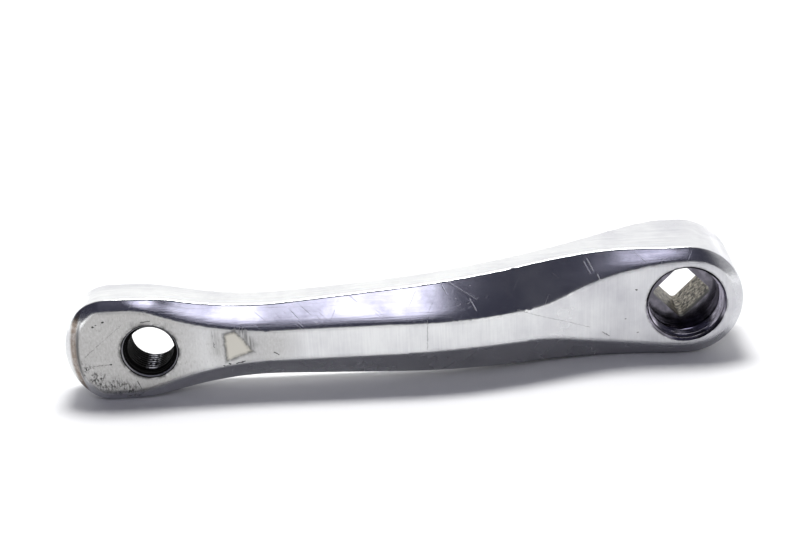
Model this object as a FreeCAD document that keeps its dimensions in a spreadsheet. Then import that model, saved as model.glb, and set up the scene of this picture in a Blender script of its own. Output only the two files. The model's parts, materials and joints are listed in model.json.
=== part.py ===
import FreeCAD, Part
import Sketcher
import os
from math import atan, cos, hypot, radians, sin, sqrt

# Left crank arm of a bicycle: one aluminium forging, bored, tapped and polished.
# Frame: the origin is on the spindle axis in the plane of the boss's outer face.
# +X runs along the arm to the pedal, +Y points outboard along both hole axes, +Z is up.

doc = FreeCAD.newDocument("crank")
Vector = FreeCAD.Vector

# Driving sizes, in millimetres, degrees and shares of a length.
SIZES = [
    ("crank_length", 152.0, "spindle axis to pedal axis, a 6 inch crank"),
    ("pedal_offset", 14.3, "outer face at the pedal, outboard of the boss face"),
    ("arm_thickness", 14.3, "thickness of the arm at the pedal eye"),
    ("boss_thickness", 26.0, "outer face of the boss to its round seat"),
    ("boss_radius", 16.65, "round end of the boss"),
    ("boss_bevel_width", 3.7, "bevel round the boss face, seen square on"),
    ("boss_flat_setback", 1.0, "centre of that flat, behind the spindle axis"),
    ("shoulder_length", 16.6, "straight side of the boss before the arm narrows"),
    ("shoulder_radius", 200.0, "turn from the boss side into the tapering arm"),
    ("neck_setback", 31.7, "narrowest place of the arm, ahead of the pedal axis"),
    ("neck_half_width", 10.95, "half width there"),
    ("neck_share", 0.6134, "hollow part of the side between the neck and the eye"),
    ("eye_half_width", 15.4, "half width of the pedal eye"),
    ("eye_side_reach", 6.7, "widest place of the eye, past the pedal axis"),
    ("eye_end_reach", 23.9, "end of the arm, past the pedal axis"),
    ("eye_end_fullness", 2.6, "radius of the end curve, over the half width of the eye"),
    ("eye_corner_radius", 11.0, "round corners between the end and the sides"),
    ("eye_bevel_width", 2.94, "bevel along the sides of the eye, seen square on"),
    ("eye_end_bevel_width", 3.3, "bevel round its end"),
    ("strip_half_width", 4.4, "narrow flat down the middle of the arm"),
    ("bevel_angle", 36.0, "slope of the bevel, down from the outer face"),
    ("bevel_dip_end", 18.5, "lowest place of the bevel line"),
    ("bevel_dip", 0.75, "depth of that dip, across the bevel"),
    ("bevel_dip_share", 0.5, "rounded part of the way down to it"),
    ("bevel_rise_end", 84.0, "where the narrow flat becomes parallel"),
    ("bevel_rise_share", 0.4, "hollow part of the way up to it"),
    ("flare_setback", 35.0, "where the flat begins to widen, ahead of the pedal axis"),
    ("flare_reach", 6.1, "where it is widest, past the pedal axis"),
    ("flare_share", 0.79, "hollow part of the flare"),
    ("face_rise_start", 9.0, "where the outer face leaves the boss face"),
    ("face_rise_end", 81.0, "where the outer face is level again"),
    ("face_rise_share", 0.36, "hollow part of that rise"),
    ("back_rise_start", 2.4, "where the inner face leaves the back of the boss"),
    ("back_rise_end", 98.5, "where the inner face is level again"),
    ("back_rise_share", 0.126, "rounded part of that rise"),
    ("seat_setback", 2.05, "round seat faced on the back of the boss, in from its rim"),
    ("seat_height", 0.6, "that seat, proud of the back of the boss"),
    ("puller_thread_radius", 11.0, "puller thread M22 x 1, at its outer diameter"),
    ("puller_chamfer", 0.6, "entry chamfer of that thread"),
    ("puller_thread_depth", 7.2, "end of the tapped length"),
    ("puller_thread_height", 0.54, "drilled bore below the tapped length, in from the thread"),
    ("bolt_seat_depth", 9.3, "floor that the spindle bolt pulls against"),
    ("square_across", 12.3, "flats of the spindle square at its small, outer end"),
    ("square_taper", 2.0, "slope of each wall of the square"),
    ("square_corner_radius", 1.4, "rounded corners of the square"),
    ("pedal_thread_radius", 7.144, "9/16 inch pedal thread, at its outer diameter"),
    ("pedal_countersink", 1.006, "countersink at both of its ends"),
    ("bevel_blend_radius", 6.0, "blend between the side bevels and the end bevel"),
    ("outer_edge_radius", 1.2, "softened edge between bevel and side"),
    ("back_edge_radius", 2.0, "softened inner edges"),
    ("seat_edge_radius", 0.3, "softened edge of the round seat"),
    ("crest_radius", 3.5, "polished crest between outer face and bevel"),
    ("clearance", 12.0, "room that a cutter takes beyond the surfaces that it cuts"),
    ("overlap", 1.0, "lead of a cutter before the surface where its cut begins"),
]

# Limits for checks and for picking edges.
SAME_SPOT = 1e-6  # millimetres
NO_LEAN = 1e-4  # part of a normal
SHARP = 0.05  # sine of the angle between two faces
LEAST_CHANGE = 0.01  # cubic millimetres

sheet = doc.addObject("Spreadsheet::Sheet", "sizes")
for row, (alias, value, note) in enumerate(SIZES, start=1):
    sheet.set(f"A{row}", alias)
    sheet.set(f"B{row}", str(value))
    sheet.set(f"C{row}", note)
    sheet.setAlias(f"B{row}", alias)
doc.recompute()

body = doc.addObject("PartDesign::Body", "crank_arm")
body.Label = "crank_arm"


def rule(words):
    """A rule for a size, written with the sheet's aliases, as an expression."""
    aliases = {alias for alias, _, _ in SIZES}
    return " ".join(f"sizes.{word}" if word in aliases else word for word in words.split())


def size(words):
    """The value of such a rule."""
    return float(body.evalExpression(rule(words)))


# Places along and across the arm, as rules.
PEDAL_X = "crank_length"
ARM_END = "( crank_length + eye_end_reach )"
END_RADIUS = "( eye_half_width + eye_end_fullness )"
END_CENTRE = f"( {ARM_END} - {END_RADIUS} )"
FLAT_END_RADIUS = f"( {END_RADIUS} - eye_end_bevel_width )"
EYE_FLAT = "( eye_half_width - eye_bevel_width )"
BOSS_FLAT = "( boss_radius - boss_bevel_width )"
SEAT_RADIUS = "( boss_radius - seat_setback )"
NECK_X = "( crank_length - neck_setback )"
EYE_SIDE_X = "( crank_length + eye_side_reach )"
NECK_LENGTH = "( neck_setback + eye_side_reach )"
NECK_RISE = "( eye_half_width - neck_half_width )"
NECK_RADIUS = f"neck_share * ( {NECK_LENGTH} ^ 2 + {NECK_RISE} ^ 2 ) / ( 2 * {NECK_RISE} )"
FLARE_START = "( crank_length - flare_setback )"
FLARE_END = "( crank_length + flare_reach )"
NEAR = "( - boss_radius - clearance )"
FAR = f"( {ARM_END} + clearance )"
BACK_LEVEL = "( pedal_offset - arm_thickness )"
BOSS_BACK = "( seat_height - boss_thickness )"
FLAT_CENTRE = "( - boss_flat_setback )"
SINE = "sin( bevel_angle * 1 deg )"
COSINE = "cos( bevel_angle * 1 deg )"


def origin_plane(role):
    """One of the body's own origin planes."""
    return next(plane for plane in body.Origin.OriginFeatures if plane.Role == role)


def new_sketch(name, role, offset=FreeCAD.Placement()):
    """An empty sketch attached to an origin plane, moved or tilted by an offset."""
    sketch = body.newObject("Sketcher::SketchObject", name)
    sketch.AttachmentSupport = [(origin_plane(role), "")]
    sketch.MapMode = "FlatFace"
    sketch.AttachmentOffset = offset
    return sketch


def line(start, end):
    return (start, end)


def arc(start, through, end):
    return (start, through, end)


def point(pair):
    return Vector(pair[0], pair[1], 0)


def draw(sketch, pieces, smooth=()):
    """Draw a closed outline; the joints after the pieces listed in smooth are tangent.

    Returns each piece's geometry number with the point numbers of its start and end."""
    drawn = []
    for piece in pieces:
        make = Part.LineSegment if len(piece) == 2 else Part.Arc
        number = sketch.addGeometry(make(*[point(pair) for pair in piece]), False)
        forward = (sketch.getPoint(number, 1) - point(piece[0])).Length < SAME_SPOT
        drawn.append((number, 1, 2) if forward else (number, 2, 1))
    for index, (number, _, end) in enumerate(drawn):
        following, start, _ = drawn[(index + 1) % len(drawn)]
        kind = "Tangent" if index in smooth else "Coincident"
        sketch.addConstraint(Sketcher.Constraint(kind, number, end, following, start))
    return drawn


def square_up(sketch, drawn, level=(), upright=()):
    """Keep the listed lines level or upright."""
    for kind, indices in (("Horizontal", level), ("Vertical", upright)):
        for index in indices:
            sketch.addConstraint(Sketcher.Constraint(kind, drawn[index][0]))


def drive(sketch, name, constraint, words):
    """Add a dimension to a sketch and let the sheet set it."""
    index = sketch.addConstraint(constraint)
    sketch.renameConstraint(index, name)
    sketch.setExpression(f"Constraints.{name}", rule(words))


def pin(sketch, name, number, position, x_words=None, y_words=None):
    """Place one point of a sketch by rules for its two coordinates."""
    spot = sketch.getPoint(number, position)
    for kind, value, words in (("DistanceX", spot.x, x_words), ("DistanceY", spot.y, y_words)):
        if words is not None:
            limit = Sketcher.Constraint(kind, -1, 1, number, position, value)
            drive(sketch, f"{name}_{kind[-1].lower()}", limit, words)


def rise(x_start, y_start, x_end, y_end, share):
    """Two tangent arcs that are level at both ends; share is the first arc's part of the length.

    Both turn through the same angle: the tangent of half of it is height over length."""
    length = x_end - x_start
    turn = 2 * atan((y_end - y_start) / length)
    first = share * length / sin(turn)
    second = (1 - share) * length / sin(turn)
    joint = (x_start + first * sin(turn), y_start + first * (1 - cos(turn)))
    early = (x_start + first * sin(turn / 2), y_start + first * (1 - cos(turn / 2)))
    late = (x_end - second * sin(turn / 2), y_end - second * (1 - cos(turn / 2)))
    return [arc((x_start, y_start), early, joint), arc(joint, late, (x_end, y_end))]


def part_way(start, end, share):
    """Rule for the joint of a rise."""
    return f"( {start} ) + {share} * ( ( {end} ) - ( {start} ) )"


def settle(feature, grows):
    """Recompute, and stop if the feature failed or changed the volume the wrong way."""
    before = 0.0 if body.Shape.isNull() else body.Shape.Volume
    doc.recompute()
    change = body.Shape.Volume - before
    if not feature.isValid() or (change > 0) != grows or abs(change) < LEAST_CHANGE:
        raise RuntimeError(f"{feature.Name} changed the volume by {change:.3f}")
    return feature


def cut_through(name, sketch):
    """Cut a sketched outline right through the body, both ways."""
    cut = body.newObject("PartDesign::Pocket", name)
    cut.Profile = sketch
    cut.Type = "ThroughAll"
    cut.Midplane = True
    return settle(cut, grows=False)


def side_view():
    """The cranked profile that the dies give, long at both ends, padded wider than the arm."""
    near, far = size(NEAR), size(FAR)
    top, back, boss_back = size("pedal_offset"), size(BACK_LEVEL), size(BOSS_BACK)
    face_start, face_end = size("face_rise_start"), size("face_rise_end")
    back_start, back_end = size("back_rise_start"), size("back_rise_end")
    outer = rise(face_start, 0, face_end, top, size("face_rise_share"))
    inner = rise(back_start, boss_back, back_end, back, size("back_rise_share"))
    pieces = [line((near, 0), (face_start, 0))]
    pieces += outer
    pieces += [line((face_end, top), (far, top)), line((far, top), (far, back))]
    pieces += [line((far, back), (back_end, back))]
    pieces += [arc(*reversed(piece)) for piece in reversed(inner)]
    pieces += [line((back_start, boss_back), (near, boss_back)), line((near, boss_back), (near, 0))]
    sketch = new_sketch("side_outline", "XY_Plane")
    drawn = draw(sketch, pieces, smooth=(0, 1, 2, 5, 6, 7))
    square_up(sketch, drawn, level=(0, 3, 5, 8), upright=(4, 9))
    face_turn = part_way("face_rise_start", "face_rise_end", "face_rise_share")
    back_turn = part_way("back_rise_start", "back_rise_end", "back_rise_share")
    pin(sketch, "near", drawn[0][0], drawn[0][1], NEAR, "0")
    pin(sketch, "face_start", drawn[0][0], drawn[0][2], "face_rise_start")
    pin(sketch, "face_turn", drawn[1][0], drawn[1][2], face_turn)
    pin(sketch, "face_end", drawn[2][0], drawn[2][2], "face_rise_end")
    pin(sketch, "far", drawn[3][0], drawn[3][2], FAR, "pedal_offset")
    pin(sketch, "back_end", drawn[5][0], drawn[5][2], "back_rise_end", BACK_LEVEL)
    pin(sketch, "back_turn", drawn[6][0], drawn[6][2], back_turn)
    pin(sketch, "back_start", drawn[7][0], drawn[7][2], "back_rise_start", BOSS_BACK)
    blank = body.newObject("PartDesign::Pad", "blank")
    blank.Profile = sketch
    blank.Midplane = True
    blank.setExpression("Length", rule("2 * ( boss_radius + clearance )"))
    settle(blank, grows=True)


def toward(centre, radius, spot):
    """The point of a circle that lies toward another point."""
    away = (spot[0] - centre[0], spot[1] - centre[1])
    scale = radius / hypot(*away)
    return (centre[0] + away[0] * scale, centre[1] + away[1] * scale)


def short_arc(centre, radius, start, end):
    """The short arc of a circle between two of its points."""
    return arc(start, toward(centre, radius, ((start[0] + end[0]) / 2, (start[1] + end[1]) / 2)), end)


def cross_tangent(low_centre, low_radius, high_centre, high_radius):
    """Ends of the straight line that passes over the low circle and under the high one."""
    across = high_centre[0] - low_centre[0]
    up = high_centre[1] - low_centre[1]
    gap = hypot(across, up)
    reach = (low_radius + high_radius) / gap
    swing = sqrt(1 - reach * reach)
    lean = ((across * reach - up * swing) / gap, (up * reach + across * swing) / gap)
    low = (low_centre[0] + low_radius * lean[0], low_centre[1] + low_radius * lean[1])
    high = (high_centre[0] - high_radius * lean[0], high_centre[1] - high_radius * lean[1])
    return low, high


def plan_view():
    """Trim the blank to the upper half of its plan: boss, shoulder, taper, neck and pedal eye."""
    boss, eye = size("boss_radius"), size("eye_half_width")
    shoulder, neck = size("shoulder_radius"), size(NECK_RADIUS)
    corner, end_radius = size("eye_corner_radius"), size(END_RADIUS)
    left, right, top = f"{NEAR} - clearance", f"{FAR} + clearance", "boss_radius + 2 * clearance"
    near, far, arm_end = size(left), size(right), size(ARM_END)
    above, below = size(top), size("- clearance")

    boss_end, boss_top = (-boss, 0), (0, boss)
    shoulder_start = (size("shoulder_length"), boss)
    shoulder_centre = (shoulder_start[0], boss - shoulder)
    neck_centre = (size(NECK_X), size("neck_half_width") + neck)
    taper_start, taper_end = cross_tangent(shoulder_centre, shoulder, neck_centre, neck)

    # The side of the eye is the rest of the rise from the neck and is level at the widest place.
    eye_top = (size(EYE_SIDE_X), eye)
    eye_side = neck * (1 / size("neck_share") - 1)
    eye_side_centre = (eye_top[0], eye - eye_side)
    neck_end = toward(neck_centre, neck, eye_side_centre)

    # The corner of the eye touches its side and its end curve.
    end_centre = (size(END_CENTRE), 0)
    corner_reach = sqrt((end_radius - corner) ** 2 - (eye - corner) ** 2)
    corner_centre = (end_centre[0] + corner_reach, eye - corner)
    corner_start = (corner_centre[0], eye)
    corner_end = toward(end_centre, end_radius, corner_centre)

    pieces = [
        short_arc((0, 0), boss, boss_end, boss_top),
        line(boss_top, shoulder_start),
        short_arc(shoulder_centre, shoulder, shoulder_start, taper_start),
        line(taper_start, taper_end),
        short_arc(neck_centre, neck, taper_end, neck_end),
        short_arc(eye_side_centre, eye_side, neck_end, eye_top),
        line(eye_top, corner_start),
        short_arc(corner_centre, corner, corner_start, corner_end),
        short_arc(end_centre, end_radius, corner_end, (arm_end, 0)),
        line((arm_end, 0), (arm_end, below)),
        line((arm_end, below), (far, below)),
        line((far, below), (far, above)),
        line((far, above), (near, above)),
        line((near, above), (near, below)),
        line((near, below), (-boss, below)),
        line((-boss, below), boss_end),
    ]
    sketch = new_sketch("plan_outline", "XZ_Plane")
    drawn = draw(sketch, pieces, smooth=range(8))
    square_up(sketch, drawn, level=(1, 6, 10, 12, 14), upright=(9, 11, 13, 15))
    pin(sketch, "boss_end", drawn[0][0], drawn[0][1], "- boss_radius", "0")
    pin(sketch, "boss_top", drawn[0][0], drawn[0][2], "0", "boss_radius")
    pin(sketch, "shoulder", drawn[1][0], drawn[1][2], "shoulder_length")
    pin(sketch, "neck", drawn[4][0], 3, NECK_X, f"neck_half_width + {NECK_RADIUS}")
    pin(sketch, "eye_top", drawn[5][0], drawn[5][2], EYE_SIDE_X, "eye_half_width")
    pin(sketch, "end_centre", drawn[8][0], 3, END_CENTRE, "0")
    pin(sketch, "arm_end", drawn[8][0], drawn[8][2], ARM_END, "0")
    pin(sketch, "low_far", drawn[10][0], drawn[10][2], right, "- clearance")
    pin(sketch, "high_near", drawn[12][0], drawn[12][2], left, top)
    pin(sketch, "low_near", drawn[14][0], drawn[14][2], None, "- clearance")
    for index, words in ((2, "shoulder_radius"), (4, NECK_RADIUS), (7, "eye_corner_radius")):
        limit = Sketcher.Constraint("Radius", drawn[index][0], size(words))
        drive(sketch, f"radius_{index}", limit, words)
    return cut_through("plan_trim", sketch)


def bevel_line():
    """Bevel the upper half of the outer face with a cutter that runs down the bevel's own slope.

    The sketch lies square to the cut, so the slope is the same all along. Heights in it are
    measured across the bevel: outboard times the cosine of the slope plus half width times its sine."""
    boss_height = f"{SINE} * {BOSS_FLAT}"
    dip_height = f"{boss_height} - bevel_dip"
    strip_height = f"{COSINE} * pedal_offset + {SINE} * strip_half_width"
    eye_height = f"{COSINE} * pedal_offset + {SINE} * {EYE_FLAT}"
    over = f"{eye_height} + 2 * clearance"
    near, far, high = size(NEAR), size(FAR), size(over)
    flat_centre, flare_start, flare_end = size(FLAT_CENTRE), size(FLARE_START), size(FLARE_END)
    dip_end, rise_end = size("bevel_dip_end"), size("bevel_rise_end")
    boss, dip, strip, eye = map(size, (boss_height, dip_height, strip_height, eye_height))
    pieces = [line((near, boss), (flat_centre, boss))]
    pieces += rise(flat_centre, boss, dip_end, dip, size("bevel_dip_share"))
    pieces += rise(dip_end, dip, rise_end, strip, size("bevel_rise_share"))
    pieces += [line((rise_end, strip), (flare_start, strip))]
    pieces += rise(flare_start, strip, flare_end, eye, size("flare_share"))
    pieces += [line((flare_end, eye), (far, eye)), line((far, eye), (far, high))]
    pieces += [line((far, high), (near, high)), line((near, high), (near, boss))]
    tilt = FreeCAD.Placement(Vector(), FreeCAD.Rotation(Vector(1, 0, 0), size("bevel_angle")))
    sketch = new_sketch("bevel_outline", "XY_Plane", tilt)
    sketch.setExpression("AttachmentOffset.Rotation.Angle", rule("bevel_angle * 1 deg"))
    drawn = draw(sketch, pieces, smooth=range(8))
    square_up(sketch, drawn, level=(0, 5, 8, 10), upright=(9, 11))
    pin(sketch, "near", drawn[0][0], drawn[0][1], NEAR)
    pin(sketch, "boss", drawn[0][0], drawn[0][2], FLAT_CENTRE, boss_height)
    pin(sketch, "dip", drawn[2][0], drawn[2][2], "bevel_dip_end", dip_height)
    pin(sketch, "strip", drawn[4][0], drawn[4][2], "bevel_rise_end", strip_height)
    pin(sketch, "flare", drawn[5][0], drawn[5][2], FLARE_START)
    pin(sketch, "eye", drawn[7][0], drawn[7][2], FLARE_END, eye_height)
    pin(sketch, "far", drawn[9][0], drawn[9][2], FAR, over)
    dip_turn = part_way(FLAT_CENTRE, "bevel_dip_end", "bevel_dip_share")
    rise_turn = part_way("bevel_dip_end", "bevel_rise_end", "bevel_rise_share")
    flare_turn = part_way(FLARE_START, FLARE_END, "flare_share")
    pin(sketch, "dip_turn", drawn[1][0], drawn[1][2], dip_turn)
    pin(sketch, "rise_turn", drawn[3][0], drawn[3][2], rise_turn)
    pin(sketch, "flare_turn", drawn[6][0], drawn[6][2], flare_turn)
    return cut_through("bevel_cut", sketch)


def turned_cut(name, centre, section, angle):
    """Turn away a section, given as rules for its corners' x and height, about an axis along Y."""
    sketch = new_sketch(f"{name}_section", "XY_Plane")
    corners = [(size(x_words), size(y_words)) for x_words, y_words in section]
    drawn = draw(sketch, [line(start, end) for start, end in zip(corners, corners[1:] + corners[:1])])
    for (number, start, _), (x_words, y_words) in zip(drawn, section):
        pin(sketch, f"corner_{number}", number, start, x_words, y_words)
    foot, head = (size(centre), 0), (size(centre), size("overlap"))
    number = sketch.addGeometry(Part.LineSegment(point(foot), point(head)), True)
    pin(sketch, "axle_foot", number, 1, centre, "0")
    pin(sketch, "axle_head", number, 2, centre, "overlap")
    cut = body.newObject("PartDesign::Groove", name)
    cut.Profile = sketch
    cut.ReferenceAxis = (sketch, ["Axis0"])
    cut.Angle = angle
    cut.Midplane = True
    return settle(cut, grows=False)


def end_bevel(name, centre, level, flat_radius, outward):
    """Carry the bevel round one end: half a turn of a wedge that lies along the arm."""
    fall = "tan( bevel_angle * 1 deg )"
    inner = f"{centre} {outward} ( {flat_radius} - overlap / {fall} )"
    outer = f"{centre} {outward} ( {flat_radius} + clearance )"
    section = [
        (inner, f"{level} + overlap"),
        (outer, f"{level} - clearance * {fall}"),
        (outer, f"{level} + overlap"),
    ]
    turned_cut(name, centre, section, 180)


def round_seat():
    """The round seat on the back of the boss, with the spindle square at its middle."""
    place = FreeCAD.Placement(Vector(0, 0, size("boss_thickness")), FreeCAD.Rotation())
    sketch = new_sketch("seat_circle", "XZ_Plane", place)
    sketch.setExpression("AttachmentOffset.Base.z", rule("boss_thickness"))
    ring = sketch.addGeometry(Part.Circle(Vector(), Vector(0, 0, 1), size(SEAT_RADIUS)), False)
    sketch.addConstraint(Sketcher.Constraint("Coincident", ring, 3, -1, 1))
    drive(sketch, "seat", Sketcher.Constraint("Radius", ring, size(SEAT_RADIUS)), SEAT_RADIUS)
    pad = body.newObject("PartDesign::Pad", "round_seat")
    pad.Profile = sketch
    pad.setExpression("Length", rule("boss_thickness / 2"))
    pad.Reversed = True
    settle(pad, grows=True)


def soften(name, alias, test):
    """Round the edges whose middle and two face normals, the more inboard one first, pass a test."""
    shape = body.Shape
    edges = []
    for number, edge in enumerate(shape.Edges, start=1):
        middle = edge.valueAt((edge.FirstParameter + edge.LastParameter) / 2)
        faces = shape.ancestorsOfType(edge, Part.Face)
        normals = [face.normalAt(*face.Surface.parameter(middle)) for face in faces]
        if len(normals) == 2 and test(middle, *sorted(normals, key=lambda normal: normal.y)):
            edges.append(f"Edge{number}")
    rounding = body.newObject("PartDesign::Fillet", name)
    rounding.Base = (rounding.BaseFeature, edges)
    rounding.setExpression("Radius", rule(alias))
    doc.recompute()
    if not edges or not rounding.isValid():
        raise RuntimeError(f"{name} failed on {len(edges)} edges")


def spindle_square():
    """The tapered square, one corner along the arm, small at the bolt seat and large at the round seat."""
    eighth_turn = 45
    growth = "tan( square_taper * 1 deg )"
    depths = {"square_small": "bolt_seat_depth - overlap", "square_large": "boss_thickness + overlap"}
    sketches = []
    for name, depth in depths.items():
        half_across = f"square_across / 2 + ( {depth} - bolt_seat_depth ) * {growth}"
        place = FreeCAD.Placement(Vector(0, 0, size(depth)), FreeCAD.Rotation(Vector(0, 0, 1), eighth_turn))
        sketch = new_sketch(name, "XZ_Plane", place)
        sketch.setExpression("AttachmentOffset.Base.z", rule(depth))
        reach, radius = size(half_across), size("square_corner_radius")
        flat = reach - radius
        pieces = []
        for turn in range(4):
            quarter = FreeCAD.Rotation(Vector(0, 0, 1), 90 * turn)
            bulge = flat + radius * sin(radians(eighth_turn))
            spots = [(reach, -flat), (reach, flat), (bulge, bulge), (flat, reach)]
            start, end, through, finish = [tuple(quarter.multVec(point(spot)))[:2] for spot in spots]
            pieces += [line(start, end), arc(end, through, finish)]
        drawn = draw(sketch, pieces, smooth=range(8))
        square_up(sketch, drawn, level=(2, 6), upright=(0, 4))
        pin(sketch, "right", drawn[0][0], drawn[0][1], half_across)
        pin(sketch, "top", drawn[2][0], drawn[2][1], None, half_across)
        pin(sketch, "left", drawn[4][0], drawn[4][1], f"- ( {half_across} )")
        pin(sketch, "bottom", drawn[6][0], drawn[6][1], None, f"- ( {half_across} )")
        for index in (1, 3, 5, 7):
            limit = Sketcher.Constraint("Radius", drawn[index][0], radius)
            drive(sketch, f"corner_{index}", limit, "square_corner_radius")
        sketches.append(sketch)
    loft = body.newObject("PartDesign::SubtractiveLoft", "spindle_square")
    loft.Profile = sketches[0]
    loft.Sections = sketches[1:]
    loft.Ruled = True
    settle(loft, grows=False)


# The forging: side view, plan and bevel, with the lower half mirrored from the upper one.
side_view()
halves = [plan_view(), bevel_line()]
lower_half = body.newObject("PartDesign::Mirrored", "lower_half")
lower_half.Originals = halves
lower_half.MirrorPlane = (origin_plane("XY_Plane"), [""])
body.Tip = lower_half
settle(lower_half, grows=False)
end_bevel("boss_bevel", FLAT_CENTRE, "0", BOSS_FLAT, "-")
end_bevel("eye_bevel", END_CENTRE, "pedal_offset", FLAT_END_RADIUS, "+")
round_seat()

# Polished edges, picked by how far the normals of their faces lean outboard: sides not at all,
# end bevels by the cosine of their slope, the outer face more than halfway from that to square.
bevel_lean = cos(radians(size("bevel_angle")))
face_lean = (1 + bevel_lean) / 2
seat_plane = size("- boss_thickness")


def is_side(normal):
    return abs(normal.y) < NO_LEAN


def is_end_bevel(normal):
    return abs(normal.y - bevel_lean) < NO_LEAN


def is_bevel(normal):
    return bevel_lean / 2 < normal.y < face_lean


def is_inner(normal):
    return normal.y < -bevel_lean / 2


def is_sharp(low, high):
    return low.cross(high).Length > SHARP


def outside_seat(spot):
    return hypot(spot.x, spot.z) > size(SEAT_RADIUS) + SAME_SPOT


soften("bevel_blend", "bevel_blend_radius", lambda spot, low, high:
       is_end_bevel(low) and is_end_bevel(high) and is_sharp(low, high))
soften("outer_edges", "outer_edge_radius", lambda spot, low, high: is_side(low) and is_bevel(high))
soften("back_edges", "back_edge_radius", lambda spot, low, high:
       is_inner(low) and is_side(high) and outside_seat(spot))
soften("seat_edge", "seat_edge_radius", lambda spot, low, high:
       is_inner(low) and is_side(high) and abs(spot.y - seat_plane) < SAME_SPOT)
soften("crest", "crest_radius", lambda spot, low, high:
       is_bevel(low) and high.y > face_lean and is_sharp(low, high))

# Machined holes.
PULLER_BORE = "puller_thread_radius - puller_thread_height"
PEDAL_WALL = f"{PEDAL_X} + pedal_thread_radius"
PEDAL_MOUTH = f"{PEDAL_WALL} + pedal_countersink + overlap"
turned_cut("puller_hole", "0", [
    ("0", "overlap"),
    ("puller_thread_radius + puller_chamfer + overlap", "overlap"),
    ("puller_thread_radius", "- puller_chamfer"),
    ("puller_thread_radius", "- puller_thread_depth"),
    (PULLER_BORE, "- puller_thread_depth"),
    (PULLER_BORE, "- bolt_seat_depth"),
    ("0", "- bolt_seat_depth"),
], 360)
turned_cut("pedal_hole", PEDAL_X, [
    (PEDAL_X, "pedal_offset + overlap"),
    (PEDAL_MOUTH, "pedal_offset + overlap"),
    (PEDAL_WALL, "pedal_offset - pedal_countersink"),
    (PEDAL_WALL, f"{BACK_LEVEL} + pedal_countersink"),
    (PEDAL_MOUTH, f"{BACK_LEVEL} - overlap"),
    (PEDAL_X, f"{BACK_LEVEL} - overlap"),
], 360)
spindle_square()

doc.recompute()
for item in doc.Objects:
    if "Invalid" in item.State or "Error" in item.State:
        raise RuntimeError(f"{item.Name} is {item.State}")
shape = body.Shape
if shape.isNull() or not shape.isValid() or len(shape.Solids) != 1:
    raise RuntimeError("crank_arm is not one valid solid")
os.makedirs("parts", exist_ok=True)
shape.exportStep(f"parts/{body.Label}.step")
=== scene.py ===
"""Finishes a left bicycle crank arm: buffed aluminium skin, cut threads, worn holes and a white studio."""

import json
from math import atan2, cos, radians, sin, tan, tau

import bmesh
import bpy
import numpy as np
from bpy.props import FloatProperty, FloatVectorProperty, IntProperty, PointerProperty
from mathutils import Matrix, Vector


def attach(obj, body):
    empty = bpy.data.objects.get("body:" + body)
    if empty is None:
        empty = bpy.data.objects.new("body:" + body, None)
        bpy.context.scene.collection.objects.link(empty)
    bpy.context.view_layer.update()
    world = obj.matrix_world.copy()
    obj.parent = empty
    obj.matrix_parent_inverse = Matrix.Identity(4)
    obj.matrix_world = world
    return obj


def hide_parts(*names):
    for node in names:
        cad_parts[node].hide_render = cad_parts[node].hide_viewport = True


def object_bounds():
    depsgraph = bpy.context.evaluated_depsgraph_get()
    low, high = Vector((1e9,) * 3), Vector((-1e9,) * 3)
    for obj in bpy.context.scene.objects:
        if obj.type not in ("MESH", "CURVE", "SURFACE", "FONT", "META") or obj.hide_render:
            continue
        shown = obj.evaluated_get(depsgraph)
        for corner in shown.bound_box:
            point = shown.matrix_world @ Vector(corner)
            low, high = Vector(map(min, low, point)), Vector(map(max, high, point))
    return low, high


bl_info = {
    "name": "Crank Arm Finish",
    "version": (1, 0, 0),
    "blender": (4, 5, 0),
    "location": "View3D > Sidebar > Crank",
    "description": "Buffed skin, cut threads and a white studio for a bicycle crank arm",
    "category": "Object",
}

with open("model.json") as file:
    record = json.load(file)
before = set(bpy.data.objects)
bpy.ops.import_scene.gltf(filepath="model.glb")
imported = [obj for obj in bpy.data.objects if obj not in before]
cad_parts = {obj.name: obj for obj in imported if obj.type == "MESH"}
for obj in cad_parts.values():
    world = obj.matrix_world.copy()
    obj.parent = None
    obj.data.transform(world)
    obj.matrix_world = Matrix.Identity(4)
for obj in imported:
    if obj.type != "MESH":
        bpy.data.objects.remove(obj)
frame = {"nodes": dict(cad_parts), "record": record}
CAD_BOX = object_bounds()
MM = 0.001
NODE = "crank_arm"
BODY = "root"
HOLES = {mount["name"]: mount for mount in frame["record"]["mounts"]}
PEDAL, PULLER = HOLES["pedal_thread"], HOLES["puller_thread"]
PEDAL_X = PEDAL["pos_m"][0]

# Names of the two finishes that the threads share with the skin.
TURNED = "aluminium_turned"
GREASY = "aluminium_thread_with_old_grease"

# The outer face climbs between these places on X, in mm, and is hollow over this first share of the climb.
FACE_START, FACE_END, FACE_SHARE = 9.0, 81.0, 0.36
# Slope of the bevel. The wheel eased it over this width next to its crest, in mm, by up to so much.
BEVEL = radians(36)
CROWN_WIDTH, CROWN_EASE = 4.0, 0.12
# The end of the eye is an arc about this place on X, and the crest of its bevel lies this far from it, in mm.
EYE_ARC_X, EYE_CREST = 135.86, 36.2
# Depth of the bolt seat below the boss face, in mm.
SEAT_DEPTH = 9.3
# How far the mouths of the holes reach past the radius of their threads, in mm.
PULLER_MOUTH, PEDAL_MOUTH = 0.65, 1.05
# The puller thread begins this far below the boss face.
PULLER_START = -0.6 * MM
# Widths of a thread's ridge at its base and its crest, over the pitch.
RIDGE_BASE, RIDGE_CREST = 0.84, 0.28
# A ridge rises over this part of a turn, from this share of its height; its base is sunk this deep.
RIDGE_FADE, RIDGE_LEAST, RIDGE_ROOT = 0.75, 0.02, 0.04 * MM

# Corners of the model's loose triangles closer than this are one corner.
WELD = 2e-6
# Neighbouring faces that turn by more than this meet in a crisp edge.
CRISP = radians(28)

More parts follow.
